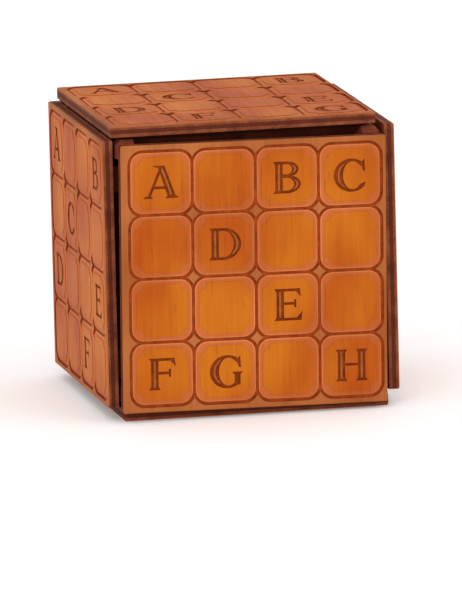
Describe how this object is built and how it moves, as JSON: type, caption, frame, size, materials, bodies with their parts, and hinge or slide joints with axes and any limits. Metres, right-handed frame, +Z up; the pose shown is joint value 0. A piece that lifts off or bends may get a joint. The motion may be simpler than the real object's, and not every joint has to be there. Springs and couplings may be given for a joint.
{
  "type": "puzzle box",
  "caption": "Wooden cryptex cube: lettered plates slide over every face on hidden rails, and their pins lock or free a secret drawer at the back.",
  "frame": {"origin": "under the middle of the cube, on the plane it stands on", "axes": "+Z up, the front plate, which hangs a little low and turned, looks along -Y, and the drawer pulls out along +Y"},
  "size_m": [0.0834, 0.0834, 0.0834],
  "materials": {
    "letter_plate": "orange stained and lacquered plywood with burnt engraving",
    "corner_block": "red-brown stained, matt",
    "carcass_wood": "red-brown stained plywood, matt",
    "guide_wood": "red-brown stained plywood, waxed",
    "drawer_wood": "stained plywood, satin",
    "brass_pin": "turned brass"
  },
  "bodies": {
    "carcass": {"front_wall": "carcass_wood", "left_wall": "carcass_wood", "right_wall": "carcass_wood", "top_wall": "carcass_wood", "bottom_wall": "carcass_wood", "front_rail_1": "guide_wood", "front_rail_2": "guide_wood", "left_rail_1": "guide_wood", "left_rail_2": "guide_wood", "right_rail_1": "guide_wood", "right_rail_2": "guide_wood", "top_rail_1": "guide_wood", "top_rail_2": "guide_wood", "bottom_rail_1": "guide_wood", "bottom_rail_2": "guide_wood", "corner_front_left_bottom": "corner_block", "corner_front_left_top": "corner_block", "corner_back_left_bottom": "corner_block", "corner_back_left_top": "corner_block", "corner_front_right_bottom": "corner_block", "corner_front_right_top": "corner_block", "corner_back_right_bottom": "corner_block", "corner_back_right_top": "corner_block"},
    "front_panel": {"front_plate": "letter_plate", "front_slider": "guide_wood", "front_lock_bolt": "brass_pin"},
    "left_panel": {"left_plate": "letter_plate", "left_slider": "guide_wood", "left_stop_pin": "brass_pin"},
    "right_panel": {"right_plate": "letter_plate", "right_slider": "guide_wood", "right_lock_pin": "brass_pin"},
    "top_panel": {"top_plate": "letter_plate", "top_slider": "guide_wood", "top_lock_pin": "brass_pin"},
    "bottom_panel": {"bottom_plate": "letter_plate", "bottom_slider": "guide_wood", "bottom_lock_pin": "brass_pin"},
    "drawer": {"back_plate": "letter_plate", "drawer_floor": "drawer_wood", "drawer_left_side": "drawer_wood", "drawer_right_side": "drawer_wood", "drawer_inner_end": "drawer_wood", "drawer_outer_end": "drawer_wood", "drawer_gate_bar": "drawer_wood", "drawer_pull_block": "drawer_wood"}
  },
  "joints": [
    {"name": "front_plate_slide", "type": "slide", "parent": "carcass", "child": "front_panel", "axis": [0, 0, -1], "range_m": [-0.0195, 0]},
    {"name": "left_plate_slide", "type": "slide", "parent": "carcass", "child": "left_panel", "axis": [0, -1, 0], "range_m": [-0.0175, 0.0005]},
    {"name": "right_plate_slide", "type": "slide", "parent": "carcass", "child": "right_panel", "axis": [0, 0, -1], "range_m": [-0.0175, 0.0005]},
    {"name": "top_plate_slide", "type": "slide", "parent": "carcass", "child": "top_panel", "axis": [1, 0, 0], "range_m": [-0.0166, 0.0014]},
    {"name": "bottom_plate_slide", "type": "slide", "parent": "carcass", "child": "bottom_panel", "axis": [-1, 0, 0], "range_m": [-0.0174, 0.0006]},
    {"name": "drawer_slide", "type": "slide", "parent": "carcass", "child": "drawer", "axis": [0, 1, 0], "range_m": [0, 0.041]}
  ]
}
